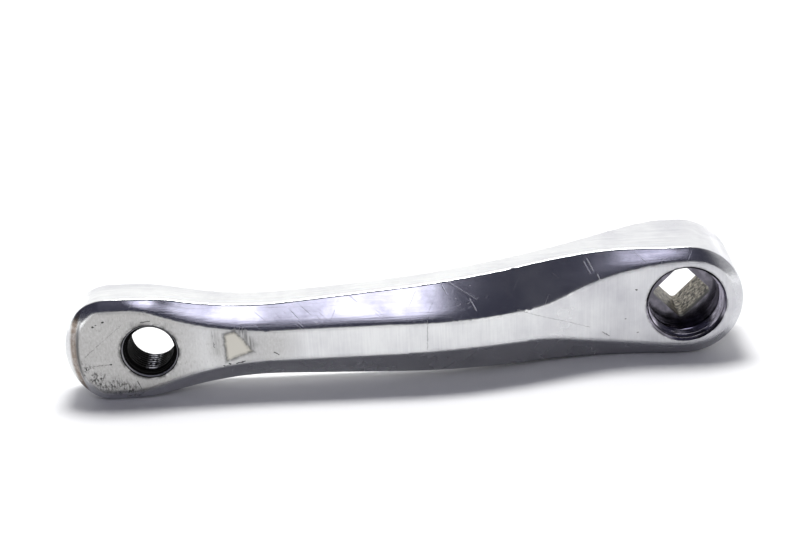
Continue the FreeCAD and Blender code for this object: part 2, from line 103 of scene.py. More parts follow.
# What a corner of the skin stores: how far it faces outboard and down, and its depth below the outer face.
FACING = ("outward", "downward", "below_face")
# Ranges of facing outboard over which the outer face, all of the outer side, and the end's bevel set in.
STRIP_FACES, FRONT_FACES, FACET_FACES = (0.90, 0.97), (0.3, 0.6), (0.68, 0.79)

# Dark strokes on the outer face, in mm: start x and z, end x and z, half width, then their strength.
DARK_STROKES = {
    "line across the strip": (74.3, 5.1, 74.6, -3.5, 0.05, 0.55),
    "long scratch": (48.9, 5.2, 27.9, -4.5, 0.04, 0.45),
    "end of the long scratch": (24.3, -6.6, 22.3, -8.1, 0.10, 0.6),
    "upper dash by the eye": (134.3, 5.3, 134.2, 3.1, 0.06, 0.5),
    "lower dash by the eye": (134.0, 1.9, 133.9, 0.3, 0.08, 0.75),
    "slanting eye scratch": (170.3, -0.8, 159.2, 8.4, 0.05, 0.45),
    "level eye scratch": (171.8, -4.0, 163.2, -3.4, 0.06, 0.6),
    "dot on the level scratch": (163.4, -3.4, 163.1, -3.4, 0.20, 0.9),
    "stroke under the pedal hole": (156.3, -8.9, 155.5, -11.2, 0.10, 0.85),
    "smudge above the pedal hole": (153.6, 9.0, 151.0, 9.3, 0.16, 0.7),
    "long speck under the patch": (128.0, -5.0, 125.8, -4.4, 0.15, 0.95),
    "round speck under the patch": (130.1, -5.0, 129.9, -5.1, 0.22, 0.95),
    "far speck under the patch": (131.7, -5.5, 131.5, -5.6, 0.18, 0.9),
    "short dash on the strip": (117.4, -2.0, 116.2, -2.8, 0.13, 0.95),
    "eye speck, high": (164.2, 9.6, 164.0, 9.7, 0.18, 0.95),
    "eye speck, middle": (166.2, 8.8, 166.0, 8.8, 0.14, 0.9),
    "eye speck, low": (167.1, 8.2, 166.9, 8.3, 0.18, 0.9),
    "boss dot, high": (14.5, 5.4, 14.3, 5.4, 0.20, 0.95),
    "boss dot, middle": (17.6, -3.4, 17.4, -3.4, 0.13, 0.7),
    "boss dot, low": (14.1, -8.1, 13.9, -8.1, 0.14, 0.7),
    "boss stroke": (23.7, -7.3, 22.5, -8.1, 0.09, 0.6),
}
# Scratches on the bevel that catch the light, in the same terms.
LIGHT_STROKES = {
    "long bevel scratch": (68.1, 13.6, 60.5, 9.0, 0.04, 0.6),
    "short bevel scratch": (62.2, 9.2, 60.5, 6.3, 0.05, 0.8),
    "steep bevel scratch": (69.8, 13.0, 68.6, 10.7, 0.04, 0.6),
    "shoulder scratch": (28.3, 14.9, 26.6, 11.9, 0.05, 0.9),
    "second shoulder scratch": (29.2, 14.3, 27.5, 11.3, 0.04, 0.7),
    "low shoulder scratch": (25.5, 10.9, 24.8, 9.5, 0.05, 0.9),
}
# Grey smears beside the patch, and grey haze on the strip about it, in the same terms.
SMEARS = {
    "upper smear": (126.0, 4.4, 123.5, 0.6, 0.6, 0.62),
    "far smear": (133.6, 4.6, 133.2, -1.0, 0.4, 0.28),
    "smear round the pedal hole": (156.0, 8.2, 146.5, 7.4, 0.3, 0.35),
}
HAZE = {"haze": (131.0, 0.0, 118.0, 0.0, 2.5, 0.75)}
# Corners of the bare worn patch on the outer face, in mm.
PATCH = ((131.0, 4.1), (128.0, 5.0), (125.6, 2.4), (123.3, -1.4), (130.8, -4.1))
# Middle line of the scuffed band at the eye, its half width, in mm, and its strength.
SCUFFED = ((171.3, -4.8), (165.0, -9.3), (157.5, -12.4))
SCUFFED_HALF, SCUFFED_STRENGTH = 1.0, 0.88
# Dirt round the mouths of the two holes, in mm: x of the hole, radius of its mouth, reach, then its strength.
RIM_DIRT = {"pedal hole": (PEDAL_X / MM, 8.15, 0.9, 0.85), "puller hole": (0.0, 11.6, 0.5, 0.5)}
# Hairlines on the outer side: turn, length and spacing of cells in mm, share of cells with one, strength.
HAIRLINES = {
    "sparse": (radians(38), 9.0, 2.2, 0.14, 0.22),
    "crossing": (radians(-61), 7.0, 2.6, 0.12, 0.22),
}
# Fields of rubbed scratches on the bevel: middle x and z, half sizes in mm, then the hairlines' terms.
RUBBED = {
    "slanting marks": (109.5, 7.0, 9.0, 3.0, radians(42), 8.0, 1.1, 0.75, 0.4),
    "short marks": (63.0, 10.0, 8.0, 4.0, radians(-25), 2.4, 0.8, 0.30, 0.55),
}
# A hairline is whole up to the first distance from its middle line, in mm, and gone at the second.
HAIR_WIDTH = (0.02, 0.09)
# It is whole up to the first share of its cell's length from its middle, and gone at the second.
HAIR_LENGTH = (0.18, 0.34)
# The countersink of the pedal hole is rubbed bright at this distance from the axis, in mm.
BRIGHT_RING = 7.75

# The lamps look at the middle of the arm, in metres.
MIDDLE = (0.08, 0, 0)
# Softboxes: the property with their power, their place, width and height in metres, and their colour.
SOFTBOXES = {
    "front_softbox": ("key_power", (0.06, 0.64, 0.70), 0.28, 0.24, "#E9E7FF"),
    "back_softbox": ("back_power", (0.08, -0.22, 0.80), 0.4, 0.26, "#FFFFFF"),
}
# Walls of the room: direction, cosines to it where the wall begins and where it is full, strength.
WALLS = {
    "back wall": ((0, -0.92, 0.39), 0.45, 0.8, 1.0),
    "wall beside the boss": ((-0.95, 0.1, 0.3), 0.72, 0.95, 0.5),
}
# The room is bright below the first of these heights on the unit sphere and dim above the second.
LOW_BAND = (0.06, 0.13)
# Linear colours of its dim and its bright parts.
ROOM_DIM = (0.042, 0.043, 0.068)
ROOM_WHITE = (1.3, 1.3, 1.3)
# Half the floor's size, its slope along X, and where it meets the shoulder of the boss, in metres.
FLOOR_HALF = 4.0
FLOOR_SLOPE = tan(radians(0.504))
SHOULDER_X = 16.6 * MM
# The card is left to the lamps up to the first distance from the middle and is white from the second on.
CARD_LIFT = (0.28, 0.5)
# The camera stands in front of the arm and above it, and leans a little.
CAMERA_PLACE = Vector((0.07811, 0.46367, 0.21413))
CAMERA_AIM = Vector((0.0812, 0, 0.016))
CAMERA_LEAN = radians(-2.9364)
SENSOR_WIDTH = 36


def linear(hex_colour):
    """The linear red, green and blue of an sRGB hex value."""
    channels = np.array([int(hex_colour[i:i + 2], 16) for i in (1, 3, 5)]) / 255
    flat = np.where(channels <= 0.04045, channels / 12.92, ((channels + 0.055) / 1.055) ** 2.4)
    return tuple(flat.tolist())


def colour_property(name, description, hex_colour):
    """A colour a user would change, given as sRGB hex."""
    return FloatVectorProperty(name=name, description=description, default=linear(hex_colour),
                               subtype="COLOR", min=0, max=1, size=3)


def length_property(name, description, default):
    """A length a user would change, in metres."""
    return FloatProperty(name=name, description=description, default=default, unit="LENGTH", precision=5)


def share_property(name, description, default):
    """A share a user would change, 0 to 1."""
    return FloatProperty(name=name, description=description, default=default, min=0, max=1, subtype="FACTOR")


def power_property(name, description, default):
    """The power of a lamp, which a user would change."""
    return FloatProperty(name=name, description=description, default=default, unit="POWER")


class CrankFinish(bpy.types.PropertyGroup):
    """Colours and roughness of the arm and its holes."""

    metal: colour_property("Metal", "Clean buffed aluminium", "#DDDEDE")
    # The shade colour is also laid on as painted shade on the underside and on the eye's inner half.
    shade: colour_property("Shade", "Aluminium under a thin grey film", "#BCBCC1")
    dull: colour_property("Dull eye", "Aluminium of the eye, dulled by shoes and dirt", "#ACABA9")
    stain: colour_property("Stain", "Brown stain on the end of the eye", "#83786F")
    bare: colour_property("Worn patch", "Bare patch on the outer face", "#CBC8BF")
    # The dirt colour is also laid on as painted shade under the arm, along the eye's crest and on the bolt
    # seat.
    dirt: colour_property("Dirt", "Black dirt in scratches and specks", "#171615")
    grease: colour_property("Grease", "Old grease in the pedal thread", "#0B0A0A")
    turned: colour_property("Bore", "Turned wall of the puller hole", "#B4B0BE")
    socket: colour_property("Socket", "Broached socket wall", "#9A9588")
    socket_dirt: colour_property("Socket dirt", "Brown dirt left by the spindle", "#4B443A")
    strip_roughness: share_property("Strip roughness", "Outer face, buffed across the arm", 0.30)
    bevel_roughness: share_property("Bevel roughness", "Bevels and sides, buffed along the arm", 0.17)


class CrankThreads(bpy.types.PropertyGroup):
    """Sizes of the two threads."""

    pedal_pitch: length_property("Pedal pitch", "Rise of one turn, 20 turns per inch", 1.27 * MM)
    pedal_height: length_property("Pedal height", "Height of the ridge from the wall", 0.687 * MM)
    puller_pitch: length_property("Puller pitch", "Rise of one turn", 1.0 * MM)
    puller_height: length_property("Puller height", "Height of the ridge from the wall", 0.54 * MM)
    steps: IntProperty(name="Steps", description="Steps in one turn of a ridge", default=72, min=12)


class CrankStudio(bpy.types.PropertyGroup):
    """Floor, light and camera."""

    card: colour_property("Floor", "White card that the arm stands on", "#F6F6F6")
    lens: FloatProperty(name="Lens", description="Focal length in mm on a 36 mm sensor", default=80.378)
    key_power: power_property("Front softbox", "Power of the small softbox that the bevel mirrors", 0.40)
    back_power: power_property("Back softbox", "Power of the softbox above and behind the arm", 6.5)


def add_node(tree, kind, feeds=None, **settings):
    """Adds a shader node with its settings, feeds its sockets with values or outputs, returns its outputs."""
    node = tree.nodes.new("ShaderNode" + kind)
    for name, value in settings.items():
        setattr(node, name, value)
    for socket, feed in (feeds or {}).items():
        if isinstance(feed, bpy.types.NodeSocket):
            tree.links.new(feed, node.inputs[socket])
        else:
            node.inputs[socket].default_value = feed
    return node.outputs


def new_metal(name):
    """An empty metal material: its tree, its shader and the place on the piece in mm."""
    material = bpy.data.materials.new(name)
    material.use_nodes = True
    tree = material.node_tree
    shader = tree.nodes["Principled BSDF"]
    shader.inputs["Metallic"].default_value = 1.0
    metres = add_node(tree, "TexCoord")["Object"]
    place = add_node(tree, "VectorMath", {0: metres, "Scale": 1 / MM}, operation="SCALE")[0]
    return material, tree, shader, place


def wire(tree, shader, feeds):
    """Links outputs to the shader's sockets of these names."""
    for socket, feed in feeds.items():
        tree.links.new(feed, shader.inputs[socket])


def opaque(colour):
    """A colour with full alpha, as colour sockets take it."""
    return (*colour, 1.0)


def stroke_cover(tree, flat, strokes, softness=0.08):
    """How far a point on the outer face is covered by any of the strokes, 0 to 1.

    For each stroke the nearest point of its segment is start + run * share, with the share of the run limited
    to 0..1, and the cover falls from its strength to 0 as the distance to that point passes the half width.
    """
    cover = 0.0
    for x0, z0, x1, z1, half, strength in strokes:
        run = Vector((x1 - x0, 0, z1 - z0))
        away = add_node(tree, "VectorMath", {0: flat, 1: (x0, 0, z0)}, operation="SUBTRACT")[0]
        along = add_node(tree, "VectorMath", {0: away, 1: run / run.length_squared},
                         operation="DOT_PRODUCT")["Value"]
        share = add_node(tree, "Clamp", {"Value": along})[0]
        nearest = add_node(tree, "VectorMath", {0: tuple(run), "Scale": share}, operation="SCALE")[0]
        gap = add_node(tree, "VectorMath", {0: away, 1: nearest}, operation="DISTANCE")["Value"]
        one = add_node(tree, "MapRange",
                       {"Value": gap, "From Min": half, "From Max": half + softness,
                        "To Min": strength, "To Max": 0.0})[0]
        cover = add_node(tree, "Math", {0: one, 1: cover}, operation="MAXIMUM")[0]
    return cover


def hairlines(tree, flat, turn, length, spacing, share):
    """Short fine scratches, one in each long cell of a grid turned in the plane of the outer face.

    The plane is turned by the angle and shrunk to cells of length by spacing; a scratch is the part of a cell
    within a thin band about its random centre, and only a share of the cells has one.
    """
    turned = add_node(tree, "VectorRotate", {"Vector": flat, "Angle": turn}, rotation_type="Y_AXIS")[0]
    cells = add_node(tree, "VectorMath", {0: turned, 1: (1 / length, 0, 1 / spacing)},
                     operation="MULTIPLY")[0]
    voronoi = add_node(tree, "TexVoronoi", {"Vector": cells, "Scale": 1.0})
    away = add_node(tree, "VectorMath", {0: cells, 1: voronoi["Position"]}, operation="SUBTRACT")[0]
    size = add_node(tree, "VectorMath", {0: away}, operation="ABSOLUTE")[0]
    parts = add_node(tree, "SeparateXYZ", {0: size})
    whole, gone = HAIR_WIDTH
    thin = add_node(tree, "MapRange",
                    {"Value": parts["Z"], "From Min": whole / spacing, "From Max": gone / spacing,
                     "To Min": 1.0, "To Max": 0.0})[0]
    whole, gone = HAIR_LENGTH
    ended = add_node(tree, "MapRange",
                     {"Value": parts["X"], "From Min": whole, "From Max": gone,
                      "To Min": 1.0, "To Max": 0.0})[0]
    chance = add_node(tree, "SeparateColor", {0: voronoi["Color"]})
    kept = add_node(tree, "Math", {0: chance["Red"], 1: share}, operation="LESS_THAN")[0]
    line = add_node(tree, "Math", {0: thin, 1: ended}, operation="MULTIPLY")[0]
    return add_node(tree, "Math", {0: line, 1: kept}, operation="MULTIPLY")[0]


def ragged_place(tree, place, flat):
    """The place in the plane of the outer face, nudged by noise so that edges wander by about 0.25 mm."""
    wander = add_node(tree, "TexNoise", {"Vector": place, "Scale": 1.3, "Detail": 3.0})["Color"]
    centred = add_node(tree, "VectorMath", {0: wander, 1: (0.5, 0.5, 0.5)}, operation="SUBTRACT")[0]
    nudge = add_node(tree, "VectorMath", {0: centred, "Scale": 0.7}, operation="SCALE")[0]
    return add_node(tree, "VectorMath", {0: flat, 1: nudge}, operation="ADD")[0]


def black_specks(tree, place):
    """Black specks up to 0.4 mm across, about one in 5 mm, of which some are kept.

    A speck is the part of a cell nearer to its random centre than a reach that grows with the cell's luck.
    """
    spots = add_node(tree, "TexVoronoi", {"Vector": place, "Scale": 0.2})
    luck = add_node(tree, "SeparateColor", {0: spots["Color"]})
    reach = add_node(tree, "MapRange",
                     {"Value": luck["Red"], "From Min": 0.5, "From Max": 1.0, "To Max": 0.045})[0]
    inside = add_node(tree, "Math", {0: reach, 1: spots["Distance"]}, operation="SUBTRACT")[0]
    return add_node(tree, "MapRange", {"Value": inside, "From Min": 0.0, "From Max": 0.015})[0]


def light_scratches(tree, flat):
    """Scratches that catch the light: single strokes, sparse hairlines and fields of rubbed hairlines.

    A field is an oval whose hairlines thin out towards its rim. The strongest scratch at a point holds.
    """
    scored = stroke_cover(tree, flat, LIGHT_STROKES.values())
    for turn, length, spacing, share, strength in HAIRLINES.values():
        lines = hairlines(tree, flat, turn, length, spacing, share)
        faint = add_node(tree, "Math", {0: lines, 1: strength}, operation="MULTIPLY")[0]
        scored = add_node(tree, "Math", {0: scored, 1: faint}, operation="MAXIMUM")[0]
    for x, z, half_x, half_z, turn, length, spacing, share, strength in RUBBED.values():
        lines = hairlines(tree, flat, turn, length, spacing, share)
        about = add_node(tree, "VectorMath", {0: flat, 1: (x, 0, z)}, operation="SUBTRACT")[0]
        shares = add_node(tree, "VectorMath", {0: about, 1: (1 / half_x, 0, 1 / half_z)},
                          operation="MULTIPLY")[0]
        spread = add_node(tree, "VectorMath", {0: shares}, operation="LENGTH")["Value"]
        field = add_node(tree, "MapRange",
                         {"Value": spread, "From Min": 0.5, "From Max": 1.0,
                          "To Min": strength, "To Max": 0.0})[0]
        rubbed = add_node(tree, "Math", {0: lines, 1: field}, operation="MULTIPLY")[0]
        scored = add_node(tree, "Math", {0: scored, 1: rubbed}, operation="MAXIMUM")[0]
    return scored


def patch_depth(tree, ragged):
    """How deep a point lies in the worn patch, in mm: its least distance to an edge, negative outside."""
    # Deeper than any edge of the patch.
    depth = 100.0
    for (x0, z0), (x1, z1) in zip(PATCH, PATCH[1:] + PATCH[:1]):
        side = Vector((x1 - x0, 0, z1 - z0)).normalized()
        inward = (-side.z, 0, side.x)
        away = add_node(tree, "VectorMath", {0: ragged, 1: (x0, 0, z0)}, operation="SUBTRACT")[0]
        reach = add_node(tree, "VectorMath", {0: away, 1: inward}, operation="DOT_PRODUCT")["Value"]
        depth = add_node(tree, "Math", {0: reach, 1: depth}, operation="MINIMUM")[0]
    return depth


def dark_marks(tree, place, ragged, depth, across, broken, flecks):
    """Dark marks of the outer side: strokes, border of the patch, smears, scuffed band, dirt round the holes.

    Each kind but the strokes is multiplied by a noise that breaks it up. The strongest mark at a point holds.
    """
    border = add_node(tree, "Math", {0: depth}, operation="ABSOLUTE")[0]
    rim = add_node(tree, "MapRange",
                   {"Value": border, "From Min": 0.1, "From Max": 0.8, "To Min": 0.6, "To Max": 0.0})[0]
    gaps = add_node(tree, "MapRange", {"Value": broken, "From Min": 0.2, "From Max": 0.55})[0]
    # The smears follow the wheel's marks across the arm.
    smear = stroke_cover(tree, ragged, SMEARS.values(), softness=1.4)
    streak = add_node(tree, "MapRange", {"Value": across, "From Min": 0.35, "From Max": 0.62})[0]
    # The scuffed band at the eye is two wide strokes, broken up into clumps of upright black flecks.
    band = [(*start, *end, SCUFFED_HALF, SCUFFED_STRENGTH) for start, end in zip(SCUFFED, SCUFFED[1:])]
    scuffed = stroke_cover(tree, ragged, band, softness=2.2)
    fleck = add_node(tree, "MapRange", {"Value": flecks, "From Min": 0.45, "From Max": 0.56})[0]
    scuff = add_node(tree, "Math", {0: scuffed, 1: fleck}, operation="MULTIPLY")[0]
    clumps = add_node(tree, "TexNoise", {"Vector": place, "Scale": 0.4, "Detail": 2.0})[0]
    clump = add_node(tree, "MapRange", {"Value": clumps, "From Min": 0.36, "From Max": 0.5})[0]
    layers = [(rim, gaps), (smear, streak), (scuff, clump)]
    # Dirt round the holes thins out from the mouth and is broken up in the same clumps.
    for x, mouth, reach, strength in RIM_DIRT.values():
        gap = add_node(tree, "VectorMath", {0: ragged, 1: (x, 0, 0)}, operation="DISTANCE")["Value"]
        grime = add_node(tree, "MapRange",
                         {"Value": gap, "From Min": mouth, "From Max": mouth + reach,
                          "To Min": strength, "To Max": 0.0})[0]
        layers.append((grime, clump))
    marks = stroke_cover(tree, ragged, DARK_STROKES.values())
    for cover, noise in layers:
        layer = add_node(tree, "Math", {0: cover, 1: noise}, operation="MULTIPLY")[0]
        marks = add_node(tree, "Math", {0: marks, 1: layer}, operation="MAXIMUM")[0]
    return marks


def eye_end(tree, flat, along_x, below, broken, facet):
    """Brown stain on the bevel round the end of the eye, and a dark line of painted shade along the bevel's
    crest.

    Both go by the distance from the centre of the arc that the end of the eye follows.
    """
    arc = add_node(tree, "VectorMath", {0: flat, 1: (EYE_ARC_X, 0, 0)}, operation="DISTANCE")["Value"]
    at_end = add_node(tree, "MapRange", {"Value": along_x, "From Min": 168.0, "From Max": 170.0})[0]
    past = add_node(tree, "MapRange", {"Value": arc, "From Min": EYE_CREST, "From Max": EYE_CREST + 0.6})[0]
    rubbed_off = add_node(tree, "MapRange",
                          {"Value": arc, "From Min": EYE_CREST + 1.7, "From Max": EYE_CREST + 2.5,
                           "To Min": 1.0, "To Max": 0.0})[0]
    blotch = add_node(tree, "MapRange",
                      {"Value": broken, "From Min": 0.25, "From Max": 0.6, "To Min": 0.6, "To Max": 1.0})[0]
    stained = past
    for cover in (at_end, rubbed_off, blotch, facet):
        stained = add_node(tree, "Math", {0: stained, 1: cover}, operation="MULTIPLY")[0]
    # The dark line along the crest is painted shade.
    off_crest = add_node(tree, "Math", {0: arc, 1: EYE_CREST}, operation="SUBTRACT")[0]
    off_crest = add_node(tree, "Math", {0: off_crest}, operation="ABSOLUTE")[0]
    line = add_node(tree, "MapRange",
                    {"Value": off_crest, "From Min": 0.1, "From Max": 0.7, "To Min": 0.65, "To Max": 0.0})[0]
    near_face = add_node(tree, "MapRange",
                         {"Value": below, "From Min": 0.4, "From Max": 1.0, "To Min": 1.0, "To Max": 0.0})[0]
    for cover in (at_end, near_face):
        line = add_node(tree, "Math", {0: line, 1: cover}, operation="MULTIPLY")[0]
    return stained, line


def buffed_aluminium(finish):
    """Forged aluminium, ground and buffed on a wheel, then scuffed in use.

    To the eye it is a soft mirror: clear along the bevels, hazier on the outer face where the wheel ran
    across, with a thin grey film, black dirt in the scratches and a few bare dull places. Shade is painted
    on the underside, along the crest at the end of the eye and on the inner half of the eye's sides.
    """
    material, tree, shader, place = new_metal("aluminium_forged_and_buffed")
    along_x = add_node(tree, "SeparateXYZ", {0: place})["X"]
    flat = add_node(tree, "VectorMath", {0: place, 1: (1, 0, 1)}, operation="MULTIPLY")[0]
    ragged = ragged_place(tree, place, flat)
    outward, downward, below = [
        add_node(tree, "Attribute", attribute_name=name)["Fac"]
        for name in FACING]
    strip, front, facet = [
        add_node(tree, "MapRange", {"Value": outward, "From Min": low, "From Max": high})[0]
        for low, high in (STRIP_FACES, FRONT_FACES, FACET_FACES)]

    # Grey film in clouds about 12 mm across.
    clouds = add_node(tree, "TexNoise",
                      {"Vector": place, "Scale": 0.085, "Detail": 5.0, "Roughness": 0.6})[0]
    film = add_node(tree, "MapRange", {"Value": clouds, "From Min": 0.4, "From Max": 0.72})[0]
    # Buffing marks: the wheel's real marks are about 0.05 mm apart and are drawn at about 0.5 mm to show.
    across_grain = add_node(tree, "VectorMath", {0: place, 1: (2.0, 0.2, 0.10)}, operation="MULTIPLY")[0]
    across = add_node(tree, "TexNoise", {"Vector": across_grain, "Scale": 1.0, "Detail": 3.0})[0]
    along_grain = add_node(tree, "VectorMath", {0: place, 1: (0.07, 1.7, 1.7)}, operation="MULTIPLY")[0]
    along = add_node(tree, "TexNoise", {"Vector": along_grain, "Scale": 1.0, "Detail": 3.0})[0]
    grain = add_node(tree, "Mix", {0: strip, 2: along, 3: across})[0]
    # Blotches about 1 mm across, and upright flecks 0.5 mm wide.
    broken = add_node(tree, "TexNoise", {"Vector": place, "Scale": 0.9, "Detail": 4.0})[0]
    upright = add_node(tree, "VectorMath", {0: place, 1: (1.8, 1.4, 0.9)}, operation="MULTIPLY")[0]
    flecks = add_node(tree, "TexNoise",
                      {"Vector": upright, "Scale": 1.0, "Detail": 5.0, "Roughness": 0.7})[0]

    # The eye is duller than the rest from the patch on, and its grain is mottled.
    towards_eye = add_node(tree, "MapRange", {"Value": along_x, "From Min": 126.0, "From Max": 150.0},
                           interpolation_type="SMOOTHSTEP")[0]
    mottle = add_node(tree, "MapRange",
                      {"Value": flecks, "From Min": 0.3, "From Max": 0.7, "To Min": 0.6, "To Max": 1.25})[0]
    haze = stroke_cover(tree, flat, HAZE.values(), softness=8.0)
    dulled = add_node(tree, "Math", {0: towards_eye, 1: haze}, operation="MAXIMUM")[0]
    for cover in (strip, mottle):
        dulled = add_node(tree, "Math", {0: dulled, 1: cover}, operation="MULTIPLY")[0]
    # Fine dirt is caught in the pits of the eye.
    pits = add_node(tree, "MapRange", {"Value": flecks, "From Min": 0.6, "From Max": 0.7, "To Max": 0.6})[0]
    for cover in (towards_eye, strip):
        pits = add_node(tree, "Math", {0: pits, 1: cover}, operation="MULTIPLY")[0]

    # Scratches, the bare patch and the stain.
    scored = light_scratches(tree, flat)
    scored = add_node(tree, "Math", {0: scored, 1: front}, operation="MULTIPLY")[0]
    depth = patch_depth(tree, ragged)
    bare = add_node(tree, "MapRange", {"Value": depth, "From Min": -0.1, "From Max": 0.3})[0]
    worn = add_node(tree, "Math", {0: bare, 1: strip}, operation="MULTIPLY")[0]
    stained, crest_shade = eye_end(tree, flat, along_x, below, broken, facet)

    # Painted shade on the faces that look down: more grey film, and some black away from the eye.
    underside_shade = add_node(tree, "MapRange",
                    {"Value": downward, "From Min": 0.3, "From Max": 0.6, "To Max": 0.9})[0]
    black = add_node(tree, "MapRange", {"Value": towards_eye, "To Min": 0.25, "To Max": 0.0})[0]
    black = add_node(tree, "Math", {0: black, 1: underside_shade}, operation="MULTIPLY")[0]

    # The darkest of the dirt and the painted shade at a point holds; specks and marks let a tenth of the
    # metal through.
    marks = dark_marks(tree, place, ragged, depth, across, broken, flecks)
    marks = add_node(tree, "Math", {0: marks, 1: front}, operation="MULTIPLY")[0]
    speck = black_specks(tree, place)
    dirt_and_painted_shade = add_node(tree, "Math", {0: marks, 1: speck}, operation="MAXIMUM")[0]
    dirt_and_painted_shade = add_node(tree, "Math", {0: dirt_and_painted_shade, 1: 0.9}, operation="MULTIPLY")[0]
    for cover in (crest_shade, pits, black):
        dirt_and_painted_shade = add_node(tree, "Math", {0: dirt_and_painted_shade, 1: cover}, operation="MAXIMUM")[0]

    # The film sits deeper in the buffing marks than between them. It is thicker towards the boss, which
    # shoes rub dull. Painted shade is laid on as more film on the underside and on the inner half of the
    # eye's sides.
    towards_boss = add_node(tree, "MapRange",
                            {"Value": along_x, "From Min": -10.0, "From Max": 75.0,
                             "To Min": 0.5, "To Max": 0.0},
                            interpolation_type="SMOOTHSTEP")[0]
    inner_half_shade = add_node(tree, "MapRange",
                          {"Value": below, "From Min": 7.5, "From Max": 13.0, "To Max": 0.6})[0]
    inner_half_shade = add_node(tree, "Math", {0: inner_half_shade, 1: towards_eye}, operation="MULTIPLY")[0]
    held_film_and_shade = add_node(tree, "Math", {0: grain, 1: 0.7, 2: -0.3}, operation="MULTIPLY_ADD")[0]
    for more in (underside_shade, towards_boss, inner_half_shade):
        held_film_and_shade = add_node(tree, "Math", {0: held_film_and_shade, 1: more}, operation="ADD")[0]
    film_and_shade = add_node(tree, "Math", {0: film, 1: 0.5, 2: held_film_and_shade}, operation="MULTIPLY_ADD", use_clamp=True)[0]

    # Each cover lays its colour over the ones before it.
    colour = opaque(finish.metal)
    layers = ((film_and_shade, finish.shade), (dulled, finish.dull), (stained, finish.stain), (worn, finish.bare),
              (dirt_and_painted_shade, finish.dirt))
    for cover, top in layers:
        colour = add_node(tree, "Mix", {0: cover, 6: colour, 7: opaque(top)}, data_type="RGBA")[2]

    # Each cover adds to the roughness; the boss rubs on shoes and is hazier.
    at_boss = add_node(tree, "MapRange",
                       {"Value": along_x, "From Min": 22.0, "From Max": 46.0, "To Min": 1.0, "To Max": 0.0},
                       interpolation_type="SMOOTHSTEP")[0]
    rough = add_node(tree, "Mix", {0: strip, 2: finish.bevel_roughness, 3: finish.strip_roughness})[0]
    for cover, more in ((film, 0.08), (at_boss, 0.04), (scored, 0.30), (worn, 0.12), (dirt_and_painted_shade, 0.30)):
        rough = add_node(tree, "Math", {0: cover, 1: more, 2: rough}, operation="MULTIPLY_ADD")[0]

    # The buffing wheel crowned the bevel: next to the crest its slope eases, most at the crest itself.
    down = add_node(tree, "MapRange",
                    {"Value": below, "From Min": 0.1, "From Max": 0.1 + CROWN_WIDTH * sin(BEVEL),
                     "To Max": CROWN_WIDTH})[0]
    ease = add_node(tree, "Math", {0: down, 1: -CROWN_EASE / (2 * CROWN_WIDTH), 2: CROWN_EASE},
                    operation="MULTIPLY_ADD")[0]
    crown = add_node(tree, "Math", {0: down, 1: ease}, operation="MULTIPLY")[0]
    crowned = add_node(tree, "Bump", {"Height": crown, "Distance": MM})[0]
    # Buffing marks are about 0.01 mm deep as drawn, scratches about 0.02 mm.
    cut = grain
    for cover in (scored, dirt_and_painted_shade):
        cut = add_node(tree, "Math", {0: cover, 1: -1.5, 2: cut}, operation="MULTIPLY_ADD")[0]
    bump = add_node(tree, "Bump", {"Height": cut, "Distance": 0.014 * MM, "Normal": crowned})[0]
    wire(tree, shader, {"Base Color": colour, "Roughness": rough, "Normal": bump})
    return material


def turned_aluminium(finish):
    """Aluminium turned on a lathe: fine rings round the hole, bright, with a grey film in places and painted
    shade on the seat.
    """
    material, tree, shader, place = new_metal(TURNED)
    # The tool's real feed is about 0.1 mm and is drawn at about 2 mm to show.
    stretched = add_node(tree, "VectorMath", {0: place, 1: (0.05, 0.5, 0.05)}, operation="MULTIPLY")[0]
    rings = add_node(tree, "TexNoise", {"Vector": stretched, "Scale": 1.0, "Detail": 4.0})[0]
    clouds = add_node(tree, "TexNoise", {"Vector": place, "Scale": 0.3, "Detail": 4.0})[0]
    film = add_node(tree, "MapRange", {"Value": clouds, "From Min": 0.42, "From Max": 0.7})[0]
    groove = add_node(tree, "MapRange", {"Value": rings, "From Min": 0.45, "From Max": 0.62})[0]
    # Painted shade darkens the seat and the wall just above it, in blotches.
    depth = add_node(tree, "SeparateXYZ", {0: place})["Y"]
    deep = add_node(tree, "MapRange", {"Value": depth, "From Min": -7.6, "From Max": -8.8})[0]
    seat_shade_blotches = add_node(tree, "MapRange",
                       {"Value": clouds, "From Min": 0.38, "From Max": 0.5,
                        "To Min": 0.68, "To Max": 0.85})[0]
    corner = add_node(tree, "Math", {0: deep, 1: seat_shade_blotches}, operation="MULTIPLY")[0]
    # The soiled cover carries the painted shade of the seat as well as the film.
    soiled = film
    for cover in (groove, corner):
        soiled = add_node(tree, "Math", {0: soiled, 1: cover}, operation="MAXIMUM")[0]
    soiled = add_node(tree, "Math", {0: soiled, 1: 0.9}, operation="MULTIPLY")[0]
    colour = add_node(tree, "Mix", {0: soiled, 6: opaque(finish.turned), 7: opaque(finish.dirt)},
                      data_type="RGBA")[2]
    rough = add_node(tree, "MapRange", {"Value": rings, "To Min": 0.05, "To Max": 0.3})[0]
    bump = add_node(tree, "Bump", {"Height": rings, "Distance": 0.3 * MM})[0]
    wire(tree, shader, {"Base Color": colour, "Roughness": rough, "Normal": bump})
    return material


